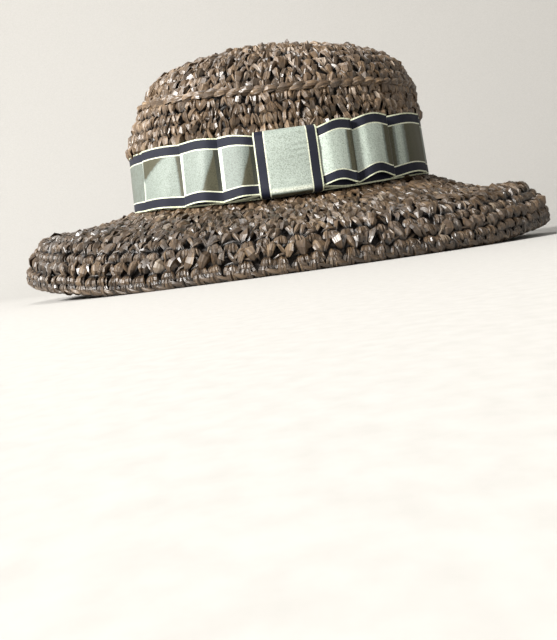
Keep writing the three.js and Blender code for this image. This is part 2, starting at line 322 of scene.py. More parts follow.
class Strands:
    """Gathers many short closed strands of raffia into one mesh."""

    def __init__(self):
        self.points, self.crest = [], []
        self.quads, self.quad_uv = [], []
        self.ends, self.end_uv = [], []
        self.count, self.total = 0, 0

    def add(
        self, places, x, y, z, width, thick, twist,
        across=ACROSS, strip=FOLDED_STRIP, crease=0.24, roll=None,
    ):
        """Sweeps a strip along one path for each place, in the place's own frame.

        The path's coordinates, width, thick and twist are strands x steps. A strip has one sharp
        ridge that wanders across it, small kinks, and pointed ends. It lies on a flat ground, or
        round a roll of the given radius.
        """
        path = np.stack(np.broadcast_arrays(x, y, z), -1)
        strands, steps = path.shape[:2]
        width, thick, twist = (np.broadcast_to(value, (strands, steps)) for value in (width, thick, twist))
        sides = len(strip)
        along = unit(np.gradient(path, axis=1))
        side = unit(across - (along @ across)[..., None] * along)
        top = np.cross(along, side)
        c, s = np.cos(twist)[..., None], np.sin(twist)[..., None]
        side, top = side * c + top * s, top * c - side * s
        profile = np.array(strip)
        share = np.linspace(0, 1, steps)[None, :, None]
        first_end, last_end = (RNG.uniform(-1, 1, (2, strands, 1, sides)) for _ in range(2))
        bend = crease * (first_end * (1 - share) + last_end * share)
        bend += KINK_SHARE * crease * RNG.normal(0, 1, (2, strands, steps, sides))
        a = (width[..., None] * (profile[:, 0] + bend[0]))[..., None]
        b = (thick[..., None] * (profile[:, 1] + bend[1]))[..., None]
        local = path[:, :, None, :] + a * side[:, :, None, :] + b * top[:, :, None, :]
        origin, around, inwards, out = (p[:, None, None, :] for p in places)
        world = origin + local[..., 0:1] * around + local[..., 1:2] * inwards + local[..., 2:3] * out
        height = local[..., 2] if roll is None else np.hypot(local[..., 1], local[..., 2]) - roll
        values = np.concatenate([world, height[..., None]], -1)
        rings = values[:, 1:-1].reshape(strands, -1, 4)
        tips = values[:, [0, -1]].mean(axis=2)
        values = np.concatenate([rings, tips], axis=1)
        self.points.append(values[..., :3].reshape(-1, 3))
        self.crest.append(np.clip((values[..., 3] - CREST_FOOT) / CREST_RISE, 0, 1).ravel())
        self.add_faces(strands, steps, sides)

    def add_faces(self, strands, steps, sides):
        """The faces of strands whose points are their rings, then their two tips."""
        last_ring = steps - 3
        tip = (steps - 2) * sides
        k, m = np.meshgrid(np.arange(last_ring), np.arange(sides), indexing="ij")
        ring = k * sides
        after = (m + 1) % sides
        quads = np.stack([ring + m, ring + after, ring + sides + after, ring + sides + m], -1)
        quad_uv = stacked((m, k + 1), (m + 1, k + 1), (m + 1, k + 2), (m, k + 2))
        m, after = m[0], after[0]
        none = 0 * m
        ring = last_ring * sides
        ends = np.concatenate([
            np.stack([none + tip, after, m], -1),
            np.stack([ring + m, ring + after, none + tip + 1], -1),
        ])
        end_uv = np.concatenate([
            stacked((m + 0.5, none), (m + 1, none + 1), (m, none + 1)),
            stacked((m, none + steps - 2), (m + 1, none + steps - 2), (m + 0.5, none + steps - 1)),
        ])
        order = self.count + np.arange(strands)
        cell = np.stack([order % CELLS_IN_ROW, order // CELLS_IN_ROW], -1)[:, None, None, :]
        first = self.total + np.arange(strands)[:, None, None] * (tip + 2)
        for faces, uv, corners, spots in (
            (self.quads, self.quad_uv, quads, quad_uv),
            (self.ends, self.end_uv, ends, end_uv),
        ):
            count = corners.shape[-1]
            spots = spots.reshape(-1, count, 2) / np.array([sides, steps - 1])
            spots = spots * (1 - 2 * CELL_MARGIN) + CELL_MARGIN
            faces.append((corners.reshape(-1, count)[None] + first).reshape(-1, count))
            uv.append((spots[None] + cell).reshape(-1, 2))
        self.total += strands * (tip + 2)
        self.count += strands

    def piece(self, name, material):
        points = np.vstack(self.points)
        points[:, 2] = np.maximum(points[:, 2], STITCH_CLEARANCE)
        groups = [np.vstack(self.quads), np.vstack(self.ends)]
        uv = np.vstack(self.quad_uv + self.end_uv)
        crest = "crest", np.concatenate(self.crest)
        return new_mesh(name, points, groups, uv, material, SHARP_FOLD, crest)


def varied(count, middle, spread):
    """A value for each strand, within a share of its middle."""
    return middle * (1 + spread * RNG.uniform(-1, 1, (count, 1)))


def crumpled(count, values, spread):
    """The same for each step of each strand, from a row of middle values."""
    return values * (1 + spread * RNG.uniform(-1, 1, (count, len(values))))


def stray(count, spread):
    """A small random value for each strand."""
    return RNG.normal(0, spread, (count, 1))


# A leg of a stitch, from its tip down to the hole that it comes out of
LEG_STEPS = np.array([0.0, 0.16, 0.38, 0.62, 0.84, 1.0])
LEG_HEIGHT = np.array([0.22, 0.74, 1.0, 0.90, 0.46, -0.05])
LEG_WIDTH = np.array([0.10, 0.60, 1.0, 0.92, 0.58, 0.14])
LEG_THICKNESS = np.array([0.45, 0.8, 1.0, 1.0, 0.8, 0.4])


def add_leg(strands, places, chosen, tall, centre, lean, lift, bulge, width, thick):
    """One folded strip on each chosen place, pointed at its tip and pinched at its foot."""
    count = int(chosen.sum())
    lean = lean[chosen]
    centre = np.broadcast_to(centre, (len(chosen), 1))[chosen]
    t = LEG_STEPS
    y = varied(count, tall, 0.14) * (0.5 - t) + stray(count, 0.4)
    x = centre + lean * (0.5 - t) + RNG.normal(0, 0.22, (count, len(t)))
    z = lift + crumpled(count, LEG_HEIGHT, 0.10) * varied(count, bulge, 0.2)
    width = crumpled(count, LEG_WIDTH, 0.16) * varied(count, width, 0.25)
    thick = crumpled(count, LEG_THICKNESS, 0.15) * varied(count, thick, 0.2)
    twist = stray(count, 0.45) + stray(count, 0.9) * (t - 0.5)
    strands.add([p[chosen] for p in places], x, y, z, width, thick, twist, crease=0.26)


def add_bars(strands, places, pitch, spacing, lift):
    """The slanting loop that lies across the top of some stitches."""
    chosen = RNG.random(len(places[0])) < 0.5
    count = int(chosen.sum())
    t = LEG_STEPS
    arch = np.sin(np.pi * t)
    x = spacing * varied(count, 1.15, 0.1) * (t - 0.5) + stray(count, 0.5)
    y = pitch * (0.50 + RNG.normal(0.16, 0.22, (count, 1)) * (t - 0.5) * 2) + 0.12 * pitch * arch
    z = lift + varied(count, 1.6, 0.5) * arch
    width = varied(count, 1.0, 0.3) * (0.30 + 0.70 * arch)
    twist = RNG.normal(0.2, 0.5, (count, 1))
    strands.add([p[chosen] for p in places], x, y, z, width, 0.6 * width, twist, INWARDS, PLAIN_STRIP)


def add_petals(strands, surface, distance, azimuth, pitch, spacing, bulge=3.3, lift=-1.3, full=1.0):
    """Stitches that show as one broad folded leg, crossed at its foot by slim ones."""
    count = len(distance)
    places = frames_on(surface, distance, azimuth)
    hand = RNG.choice([-1.0, 1.0], (count, 1), p=[0.22, 0.78])
    every, some = np.ones(count, bool), RNG.random(count) < 0.55
    for chosen, tall, centre, slant, spread, high, wide, thick in (
        (every, 1.50, 0.10, 0.42, 0.16, 1.0, 0.38 * full, 1.6),
        (every, 1.48, -0.36, -0.62, 0.16, 0.95, 0.19, 1.1),
        (some, 1.35, -0.20, 0.5, 0.3, 1.12, 0.14, 0.8),
    ):
        lean = hand * spacing * (slant + np.sign(slant) * RNG.normal(0, spread, (count, 1)))
        form = tall * pitch, centre * hand * spacing, lean, lift, high * bulge, wide * spacing, thick
        add_leg(strands, places, chosen, *form)
    add_bars(strands, places, pitch, spacing, lift)


def add_legs(strands, surface, distance, azimuth, pitch, spacing, bulge=3.1, lift=-1.3, full=1.0):
    """Stitches that show as slim crossing legs."""
    count = len(distance)
    places = frames_on(surface, distance, azimuth)
    every, some = np.ones(count, bool), RNG.random(count) < 0.6
    for chosen, centre, slant, high in (
        (every, -0.30, 0.42, 0.95),
        (every, 0.04, -0.45, 1.05),
        (every, 0.34, 0.30, 0.95),
        (some, 0.20, -0.6, 1.12),
    ):
        lean = spacing * (slant + stray(count, 0.14))
        form = 1.42 * pitch, centre * spacing, lean, lift, high * bulge, 0.20 * spacing * full, 1.1
        add_leg(strands, places, chosen, *form)
    add_bars(strands, places, pitch, spacing, lift)


def add_mixed(strands, surface, distance, azimuth, pitch, spacing, slim, **form):
    """A round of both kinds, the given share of its stitches slim."""
    chosen = RNG.random(len(distance)) < slim
    for kind, picked in ((add_legs, chosen), (add_petals, ~chosen)):
        kind(strands, surface, distance[picked], azimuth[picked], pitch, spacing, **form)


def add_fans(strands, surface, distance, azimuth, pitch, spacing):
    """Large stitches gathered at the top, whose creased strands spread like a shell."""
    count = len(distance)
    places = frames_on(surface, distance, azimuth)
    t = np.linspace(0, 1, 7)[None, :]
    swell = np.sin(np.pi * t**1.2)
    top = stray(count, 0.07)
    for spread, high in ((-0.42, 0.75), (-0.20, 0.95), (0.03, 1.05), (0.25, 0.95), (0.44, 0.72)):
        y = pitch * varied(count, 1.30, 0.08) * (0.52 - t) + stray(count, 0.2)
        x = spacing * (top + (spread - top) * (0.15 + 0.85 * t**0.75)) + stray(count, 0.2)
        z = -1.0 + high * varied(count, 2.8, 0.14) * swell - 0.5 * t**6
        swell_out = np.sin(np.pi * np.minimum(t, 0.75) / 1.5)
        width = varied(count, 0.155 * spacing, 0.22) * (0.40 + 0.60 * swell_out)
        twist = spread * 1.1 + stray(count, 0.35) + stray(count, 0.4) * t
        strands.add(places, x, y, z, width, 0.72 * width, twist)
    add_bars(strands, places, pitch, spacing, -0.6)


def add_chain(strands, surface, distance, spacing, lift, size):
    """A round of raised slanting loops that overlap each other like a chain."""
    azimuth = places_round(surface, distance, spacing, 0.5)
    count = len(azimuth)
    places = frames_on(surface, np.full(count, distance), azimuth)
    t = np.linspace(0, 1, 9)[None, :]
    arch = np.sin(np.pi * t)
    for rise, side in ((2.4, 0.0), (1.6, -1.1)):
        x = spacing * varied(count, 1.45, 0.1) * (t - 0.5) + side
        y = varied(count, rise, 0.35) * (t - 0.5) + 0.35 * side + stray(count, 0.25)
        z = lift + varied(count, 1.2, 0.3) * arch + 0.8 * (t - 0.5) + 0.3 * side
        width = varied(count, size, 0.2) * (0.30 + 0.70 * np.sin(np.pi * t**0.8))
        twist = RNG.normal(0.3, 0.3, (count, 1)) + 0.6 * (t - 0.5)
        strands.add(places, x, y, z, width, 0.55 * width, twist, INWARDS)


def inner_side(surface):
    """The same surface from its other side, at the wall's far face."""
    def flipped(distance, azimuth):
        distances = np.array(np.broadcast_to(distance, np.shape(azimuth)))
        point, _, _, out = frames_on(surface, distances, -azimuth)
        return point - WALL * out
    return flipped


def add_purls(strands, surface, distance, azimuth, pitch, spacing):
    """The wrong side of the crochet: bars that lie across their round, with a slim strand between."""
    count = len(distance)
    places = frames_on(surface, distance, azimuth)
    t = LEG_STEPS
    arch = np.sin(np.pi * t)
    x = spacing * 1.35 * (t - 0.5) + RNG.normal(0, 0.3, (count, len(LEG_STEPS)))
    y = stray(count, 0.35) + pitch * varied(count, 0.35, 0.8) * (t - 0.5)
    z = -1.0 + varied(count, 2.3, 0.25) * crumpled(count, arch, 0.1)
    width = varied(count, 0.47 * pitch, 0.2) * crumpled(count, 0.35 + 0.65 * arch, 0.15)
    twist = stray(count, 0.35)
    strands.add(places, x, y, z, width, 0.45 * width, twist, INWARDS, PLAIN_STRIP)
    chosen = RNG.random(count) < 0.6
    count = int(chosen.sum())
    places = [p[chosen] for p in places]
    side = RNG.choice([-1.0, 1.0], (count, 1))
    x = spacing * (0.5 + RNG.normal(0.25, 0.1, (count, 1)) * side * (t - 0.5) * 2)
    y = pitch * 1.1 * (t - 0.5)
    z = -1.1 + varied(count, 1.9, 0.25) * arch
    width = varied(count, 0.20 * spacing, 0.2) * (0.35 + 0.65 * arch)
    twist = stray(count, 0.4)
    strands.add(places, x, y, z, width, 0.6 * width, twist, strip=PLAIN_STRIP)


def add_rim(strands, spacing):
    """The last round, whose creased strands roll over the brim's edge to its underside."""
    azimuth = places_round(brim_surface, BRIM_LENGTH - 2.0, spacing, 0.2)
    count = len(azimuth)
    point, around, inwards, out = frames_on(brim_surface, np.full(count, BRIM_LENGTH - 4.6), azimuth)
    radius = 2.7
    centre = point - 2.6 * out
    centre[..., 2] = np.maximum(centre[..., 2], radius + 1.3)
    places = centre, around, inwards, out
    t = np.linspace(0, 1, 11)[None, :]
    turn = np.radians(-38 + 250 * t)
    swell = np.sin(np.pi * t)
    lean = RNG.normal(0.20, 0.10, (count, 1))
    for spread, high in ((-0.40, 0.55), (-0.16, 1.0), (0.10, 1.05), (0.36, 0.6)):
        reach = radius + high * varied(count, 0.9, 0.3) * swell + stray(count, 0.1)
        x = spacing * (spread * (0.62 + 0.38 * np.cos(2 * np.pi * (t - 0.45))) + lean * (t - 0.5))
        width = varied(count, 0.17 * spacing, 0.2) * (0.55 + 0.45 * swell)
        twist = spread * 0.9 + stray(count, 0.3) + stray(count, 0.5) * t
        y, z = -reach * np.sin(turn), reach * np.cos(turn)
        strands.add(places, x, y, z, width, 0.6 * width, twist, roll=radius)
    t = np.linspace(0, 1, 8)[None, :]
    arch = np.sin(np.pi * t)
    turn = np.radians(varied(count, 62, 0.15) + 55 * (t - 0.5))
    reach = radius + 0.2 + 1.3 * arch
    x = spacing * (varied(count, 1.25, 0.1) * (t - 0.5) + 0.45)
    width = varied(count, 1.15, 0.25) * (0.35 + 0.65 * arch)
    y, z = -reach * np.sin(turn), reach * np.cos(turn)
    twist = RNG.normal(0.9, 0.3, (count, 1))
    strands.add(places, x, y, z, width, 0.55 * width, twist, INWARDS, roll=radius)


# Depths of the ground's two faces under the crochet's surface
GROUND_TOP = 2.3
GROUND_BOTTOM = WALL - 0.8


def shell(name, surface, last, steps, material):
    """The dense ground of the crochet, a closed ring with a pinhole in the middle of the crown."""
    distances = np.linspace(0.3, last, steps)
    azimuths = np.linspace(0, FULL_TURN, 121)[:-1]
    columns = len(azimuths)
    rows = []
    for depth, order in ((GROUND_TOP, distances), (GROUND_BOTTOM, distances[::-1])):
        for distance in order:
            point, _, _, out = frames_on(surface, np.full(columns, float(distance)), azimuths)
            rows.append(point - depth * out)
    points = np.vstack(rows)
    points[:, 2] = np.maximum(points[:, 2], GROUND_CLEARANCE)
    r, c, quads = ring_faces(len(rows), columns, closed=True)
    uv = stacked((r, c), (r + 1, c), (r + 1, c + 1), (r, c + 1)).reshape(-1, 2) * 0.1
    return new_mesh(name, points, [quads.reshape(-1, 4)], uv, material)


# Materials

BLACK = (0.0, 0.0, 0.0)
WHITE = (1.0, 1.0, 1.0)


class Nodes:
    """A short way to build a material's nodes."""

    def __init__(self, name):
        self.material = bpy.data.materials.new(name)
        self.material.use_nodes = True
        self.tree = self.material.node_tree
        self.shader = self.tree.nodes["Principled BSDF"]

    def node(self, kind, **values):
        made = self.tree.nodes.new(kind)
        for key, value in values.items():
            setattr(made, key, value)
        return made

    def link(self, source, target):
        self.tree.links.new(source, target)

    def put(self, socket, value):
        """Sets a socket to a number or a colour, or links it to another node's output."""
        if isinstance(value, tuple):
            socket.default_value = (*value, 1)
        elif isinstance(value, (int, float)):
            socket.default_value = value
        else:
            self.link(value, socket)

    def shade(self, name, value):
        self.put(self.shader.inputs[name], value)

    def parts(self, vector):
        made = self.node("ShaderNodeSeparateXYZ")
        self.link(vector, made.inputs[0])
        return made.outputs

    def pair(self, first, second):
        made = self.node("ShaderNodeCombineXYZ")
        self.link(first, made.inputs[0])
        self.link(second, made.inputs[1])
        return made.outputs[0]

    def place(self):
        return self.node("ShaderNodeTexCoord").outputs["Object"]

    def times(self, first, second):
        return self.math("MULTIPLY", first, second)

    def plus(self, first, second):
        return self.math("ADD", first, second)

    def math(self, operation, *values):
        made = self.node("ShaderNodeMath", operation=operation)
        for socket, value in zip(made.inputs, values):
            self.put(socket, value)
        return made.outputs[0]

    def noise(self, scale, detail, vector, **values):
        made = self.node("ShaderNodeTexNoise", **values)
        made.inputs["Scale"].default_value = scale
        made.inputs["Detail"].default_value = detail
        self.link(vector, made.inputs["Vector"])
        return made.outputs["Fac"]

    def ramp(self, factor, stops):
        made = self.node("ShaderNodeValToRGB")
        elements = made.color_ramp.elements
        while len(elements) < len(stops):
            elements.new(0.5)
        for element, (place, colour) in zip(elements, stops):
            element.position = place
            element.color = (*colour, 1)
        self.link(factor, made.inputs["Fac"])
        return made.outputs["Color"]

    def mix(self, factor, first, second, blend="MIX"):
        made = self.node("ShaderNodeMix", data_type="RGBA")
        made.blend_type = blend
        self.put(next(s for s in made.inputs if s.type == "VALUE"), factor)
        colours = [s for s in made.inputs if s.type == "RGBA"]
        self.put(colours[0], first)
        self.put(colours[1], second)
        return next(s for s in made.outputs if s.type == "RGBA")

    def bump(self, height, distance, strength=1.0, normal=None):
        made = self.node("ShaderNodeBump")
        made.inputs["Strength"].default_value = strength
        made.inputs["Distance"].default_value = distance
        self.link(height, made.inputs["Height"])
        if normal is not None:
            self.link(normal, made.inputs["Normal"])
        return made.outputs["Normal"]


def raffia_material():
    """Flat paper raffia: long creases along each strand, satin, with painted glints on a few strands and
    painted shade in its creases, between the stitches and towards the brim's edge.
    """
    n = Nodes("raffia")
    uv = n.parts(n.node("ShaderNodeUVMap", uv_map="UVMap").outputs[0])
    chance = n.node("ShaderNodeTexWhiteNoise", noise_dimensions="2D")
    n.link(n.pair(n.math("FLOOR", uv[0]), n.math("FLOOR", uv[1])), chance.inputs["Vector"])
    chance = chance.outputs["Value"]
    stretched = n.pair(n.times(uv[0], 9.0), n.times(uv[1], 1.3))
    creases = n.noise(1.0, 2.0, stretched, noise_type="RIDGED_MULTIFRACTAL")
    place = n.place()
    fibres = n.noise(900.0, 4.0, place)
    patches = n.noise(22.0, 2.0, place)

    # each strand has its own brown, in lighter and darker patches, and a few strands are pale as painted
    # glints
    tone = n.plus(n.times(chance, 0.40), n.times(patches, 0.60))
    brown = n.ramp(tone, [
        (0.20, (0.056, 0.035, 0.018)),
        (0.42, (0.120, 0.076, 0.040)),
        (0.60, (0.180, 0.114, 0.059)),
        (0.80, (0.310, 0.215, 0.128)),
    ])
    # painted highlight: pale glints on a few strands
    painted_glint = n.times(n.math("GREATER_THAN", chance, 0.984), 0.5)
    brown = n.mix(painted_glint, brown, (0.52, 0.46, 0.40))

    # painted highlight along the creases, painted shade in their folds, and dark fibres
    crease_shading = n.mix(n.times(creases, 0.26), brown, (0.38, 0.30, 0.215))
    crease_shade = n.ramp(creases, [(0.01, (0.50, 0.46, 0.42)), (0.13, WHITE)])
    crease_shading = n.mix(1.0, crease_shading, crease_shade, blend="MULTIPLY")
    colour = n.mix(n.times(fibres, 0.30), crease_shading, (0.035, 0.025, 0.016))

    # painted shade between the stitches, and painted shade darkening the brim towards its edge
    crest = n.node("ShaderNodeAttribute", attribute_name="crest").outputs["Fac"]
    depth = n.ramp(crest, [
        (0.0, (0.010, 0.008, 0.007)),
        (0.48, (0.09, 0.078, 0.066)),
        (0.84, (1.06, 1.06, 1.06)),
    ])
    colour = n.mix(1.0, colour, depth, blend="MULTIPLY")
    # painted shade: darker towards the brim's edge
    x, y, _ = n.parts(place)
    y = n.times(y, 1.2)
    reach = n.math("SQRT", n.plus(n.times(x, x), n.times(y, y)))
    brim_shade = n.ramp(n.times(reach, 5.0), [(0.52, WHITE), (0.68, (0.58, 0.55, 0.48))])
    colour = n.mix(1.0, colour, brim_shade, blend="MULTIPLY")
    n.shade("Base Color", colour)

    rough = n.plus(n.times(chance, 0.16), 0.31)
    n.shade("Roughness", n.plus(rough, n.times(fibres, 0.12)))
    n.shade("Specular IOR Level", 0.80)
    along = n.math("FRACT", uv[1])
    ends = n.math("ABSOLUTE", n.math("SUBTRACT", n.times(along, 2.0), 1.0))
    gathered = n.times(creases, n.plus(n.times(ends, 0.9), 0.45))
    fine = n.bump(fibres, 0.00008, 0.6)
    n.shade("Normal", n.bump(gathered, 0.00075, 1.0, fine))
    return n.material


def ground_material():
    """The shadowed depth between stitches."""
    n = Nodes("raffia_ground")
    place = n.place()
    lumps = n.noise(330.0, 4.0, place)
    colour = n.ramp(lumps, [(0.3, (0.006, 0.004, 0.003)), (0.7, (0.022, 0.014, 0.009))])
    n.shade("Base Color", colour)
    n.shade("Roughness", 0.7)
    n.shade("Normal", n.bump(lumps, 0.0012, 1.0))
    return n.material


# Where the ribbon's pale middle, cream line and navy stripe end, from its middle to its edge
MIDDLE_END = 0.643
CREAM_END = 0.682
NAVY_END = 0.957


def ribbon_material():
    """Satin ribbon, by its width: fine lime edges, navy stripes, cream lines, a pale green middle.

    Its painted shading value paints the middle lit at 0, dims it to olive painted shade at 1, paints
    darker shadow up to 2, and a painted highlight below 0.
    """
    n = Nodes("ribbon")
    uv = n.node("ShaderNodeUVMap", uv_map="UVMap").outputs[0]
    across = n.math("ABSOLUTE", n.math("SUBTRACT", n.parts(uv)[1], 0.5))
    across = n.times(across, 2.0)
    place = n.place()
    cloudy = n.noise(60.0, 3.0, place)
    grain = n.noise(1500.0, 3.0, place)
    painted_shading = n.node("ShaderNodeAttribute", attribute_name="painted_shading").outputs["Fac"]

    # the pale middle, in lit and dim copies, with olive painted shade, a painted highlight and a painted
    # shadow
    lit = n.mix(cloudy, (0.350, 0.402, 0.356), (0.415, 0.472, 0.425))
    dim = n.mix(cloudy, (0.145, 0.170, 0.152), (0.182, 0.211, 0.190))
    olive_shade = n.mix(cloudy, (0.050, 0.048, 0.027), (0.074, 0.071, 0.042))
    ragged = n.times(n.math("SUBTRACT", n.noise(300.0, 3.0, place), 0.5), 0.35)
    edge = n.plus(painted_shading, ragged)
    pale = n.mix(n.ramp(painted_shading, [(0.0, BLACK), (0.30, WHITE)]), lit, dim)
    pale = n.mix(n.ramp(edge, [(0.42, BLACK), (0.80, WHITE)]), pale, olive_shade)
    painted_highlight = n.math("MAXIMUM", n.times(painted_shading, -1.0), 0.0)
    pale = n.mix(painted_highlight, pale, (0.90, 0.91, 0.78))
    painted_shadow = n.math("MINIMUM", n.math("MAXIMUM", n.math("SUBTRACT", painted_shading, 1.0), 0.0), 1.0)
    pale = n.mix(painted_shadow, pale, (0.030, 0.032, 0.022))

    # the stripes
    navy = n.mix(cloudy, (0.002, 0.003, 0.011), (0.006, 0.008, 0.022))
    is_edge = n.math("GREATER_THAN", across, NAVY_END)
    is_navy = n.math("SUBTRACT", n.math("GREATER_THAN", across, CREAM_END), is_edge)
    past_middle = n.math("GREATER_THAN", across, MIDDLE_END)
    colour = n.mix(past_middle, pale, (0.66, 0.68, 0.54))
    colour = n.mix(is_navy, colour, navy)
    colour = n.mix(is_edge, colour, (0.62, 0.65, 0.48))
    speck = n.ramp(grain, [(0.32, (0.62, 0.63, 0.58)), (0.52, WHITE), (0.70, (1.18, 1.18, 1.15))])
    colour = n.mix(1.0, colour, speck, blend="MULTIPLY")
    n.shade("Base Color", colour)

    rough = n.plus(n.times(grain, 0.25), 0.37)
    rough = n.plus(rough, n.times(is_navy, 0.22))
    n.shade("Roughness", rough)
    n.shade("Metallic", 0.08)
    n.shade("Specular IOR Level", 0.35)
    n.shade("Anisotropic", 0.5)
    n.shade("Sheen Weight", 0.05)
    n.shade("Sheen Roughness", 0.35)
    weave = n.node("ShaderNodeTexWave", wave_type="BANDS", bands_direction="Y")
    weave.inputs["Scale"].default_value = 24.0
    n.link(uv, weave.inputs["Vector"])
    fine = n.bump(weave.outputs["Fac"], 0.00004, 0.5)
    n.shade("Normal", n.bump(grain, 0.00012, 0.8, fine))
    return n.material


# The crown and brim


# How far the rounds stay clear of the tip's middle, the ridge's line and the crown's foot
TIP_CLEAR = 2.0
RIDGE_CLEAR = 1.5
FOOT_ROUND = 4.0
FOOT_CLEAR = 3.0
# The edge's own round, and the broad rounds next to it
EDGE_ROUND = 4.2
BROAD_ROUNDS = 3


def fill(strands, kind, surface, first, last, size, **form):
    """All rounds between two distances, with one kind of stitch."""
    for _, distance, azimuth in rounds_on(surface, first, last, *size):
        kind(strands, surface, distance, azimuth, *size, **form)


def make_crown(raffia, ground):
    tip, sides, ridge, foot, inside = (Strands() for _ in range(5))
    size = CROWN_ROUND, CROWN_STITCH
    fill(tip, add_mixed, crown_rounds, TIP_CLEAR, RIDGE_DISTANCE - RIDGE_CLEAR, size, slim=0.4)
    for i, distance, azimuth in rounds_on(crown_rounds, RIDGE_DISTANCE + RIDGE_CLEAR, BAND_TOP + 1, *size):
        slim = 0.15 if i == 3 else 0.65
        add_mixed(sides, crown_rounds, distance, azimuth, *size, slim=slim)
    add_chain(ridge, crown_rounds, RIDGE_DISTANCE, spacing=7.6, lift=2.5, size=2.3)
    low = CROWN_DISTANCE - FOOT_CLEAR
    small = FOOT_ROUND, CROWN_STITCH
    fill(foot, add_legs, crown_surface, low - FOOT_ROUND, low, small, bulge=1.2, lift=-1.6)
    fill(inside, add_purls, inner_side(crown_surface), TIP_CLEAR, CROWN_DISTANCE + 2.2, size)
    for piece in (
        tip.piece("crown_tip_stitches", raffia),
        sides.piece("crown_side_stitches", raffia),
        ridge.piece("crown_ridge_chain", raffia),
        foot.piece("crown_foot_stitches", raffia),
        inside.piece("crown_inside_stitches", raffia),
        shell("crown_ground", crown_surface, CROWN_DISTANCE, 44, ground),
    ):
        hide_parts("crown")


def make_brim(raffia, ground):
    inner, outer, rim, under = (Strands() for _ in range(4))
    size = BRIM_ROUND, BRIM_STITCH
    last = BRIM_LENGTH - EDGE_ROUND
    split = last - BROAD_ROUNDS * BRIM_ROUND
    fill(inner, add_mixed, brim_surface, 0.5, split, size, slim=0.4, bulge=3.1)
    for i, distance, azimuth in rounds_on(brim_surface, split, last, *size):
        if i == 1:
            add_petals(outer, brim_surface, distance, azimuth, *size, bulge=3.4, full=1.05)
        else:
            add_fans(outer, brim_surface, distance, azimuth, *size)
    add_rim(rim, BRIM_STITCH)
    fill(under, add_purls, inner_side(brim_surface), -1.6, BRIM_LENGTH - 4, size)
    for piece in (
        inner.piece("brim_inner_stitches", raffia),
        outer.piece("brim_outer_stitches", raffia),
        rim.piece("brim_edge_stitches", raffia),
        under.piece("brim_underside_stitches", raffia),
        shell("brim_ground", brim_surface, BRIM_LENGTH - 2.5, 34, ground),
    ):
        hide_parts("brim")


# The ribbon


RING_AZIMUTHS = BOW_AZIMUTH + np.linspace(0, FULL_TURN, 721)
RING_RUN = run_length(beside_crown(RING_AZIMUTHS, np.zeros(len(RING_AZIMUTHS))))
BAND_PERIMETER = RING_RUN[-1]

# Steps across the ribbon's width, as shares of it
RISE = np.linspace(0, 1, 19)
SLOPE = RISE - 0.5


def on_ribbon(along, out, up):
    """A place by its distance along the ribbon from the bow, out from the crown, and up."""
    along, out, up = np.broadcast_arrays(along, out, up)
    azimuth = np.interp(np.mod(along, BAND_PERIMETER), RING_RUN, RING_AZIMUTHS)
    level = beside_crown(azimuth, out - BAND_TAPER * up / RIBBON_WIDTH)
    height = foot_height(azimuth) + BAND_BOTTOM + up
    return np.concatenate([level, height[..., None]], -1)


def ribbon_strip(name, along, out, lift, painted_shading, material, place, closed):
    """A ribbon with its thickness, and its length in millimetres.

    along, out, lift and the painted shading are steps x levels across its width.
    """
    levels = len(RISE)
    shape = len(along), levels
    along, out, lift, painted_shading = (np.broadcast_to(value, shape) for value in (along, out, lift, painted_shading))
    if closed:
        run_along, run_out = (np.roll(value, -1, 0) - np.roll(value, 1, 0) for value in (along, out))
    else:
        run_along, run_out = (np.gradient(value, axis=0) for value in (along, out))
    normal = unit(np.stack([-run_out, run_along], -1)) * 0.5 * RIBBON_THICKNESS
    faces = [
        place(along + side * normal[..., 0], out + side * normal[..., 1], RISE[None, :], lift)
        for side in (1, -1)
    ]
    points = np.concatenate([faces[0], faces[1][:, ::-1]], axis=1)
    across = np.concatenate([RISE, RISE[::-1]])
    steps, ring = points.shape[:2]
    i, j, quads = ring_faces(steps, ring, closed)
    above = (j + 1) % ring
    centre = 0.5 * (faces[0] + faces[1])[:, levels // 2]
    run = run_length(np.vstack([centre, centre[:1]])) / RIBBON_WIDTH
    uv = stacked(
        (run[i], across[j]), (run[i + 1], across[j]),
        (run[i + 1], across[above]), (run[i], across[above]),
    )
    quads, uv = quads.reshape(-1, 4), uv.reshape(-1, 2)
    if not closed:
        k = np.arange(levels - 1)
        cap = np.stack([k, k + 1, ring - 2 - k, ring - 1 - k], -1)
        quads = np.vstack([quads, cap, cap[:, ::-1] + (steps - 1) * ring])
        uv = np.vstack([uv, np.full((8 * len(cap), 2), 0.99)])
    painted_shading = "painted_shading", np.concatenate([painted_shading, painted_shading[:, ::-1]], axis=1)
    piece = new_mesh(name, points.reshape(-1, 3), [quads], uv, material, SHARP_EDGE, painted_shading)
    return piece, (run[-1] if closed else run[-2]) * RIBBON_WIDTH


def upright(along, out, level, lift):
    return on_ribbon(along, out, level * RIBBON_WIDTH + lift)


def pinched(along, out, level, lift):
    """The same, gathered a little where the knot holds the loops."""
    held = 1 - smooth_step(np.abs(along), 0.45 * KNOT_WIDTH, KNOT_WIDTH)
    up = level * RIBBON_WIDTH + lift
    return on_ribbon(along, out, up + held * 0.10 * (RIBBON_WIDTH / 2 - up))


def make_band(ribbon):
    along = np.linspace(0, BAND_PERIMETER, 301)[:-1, None] + 0.35 * BAND_PERIMETER
    out = BAND_OUT + 0.4 * np.sin(along / 9.0 + 1.3) * np.sin(along / 23.0) * (RISE - 0.2)
    # painted shading: the band darker than the loops, partly as sheer satin over dark straw and partly
    # painted shade
    painted_shading = 0.54 + 0.10 * np.sin(along / 31.0 + 0.6) * np.cos(along / 13.0 + 1.5 * RISE)
    band, length = ribbon_strip("ribbon_band_cloth", along, out, 0.0, painted_shading, ribbon, upright, closed=True)
    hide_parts("ribbon_band")


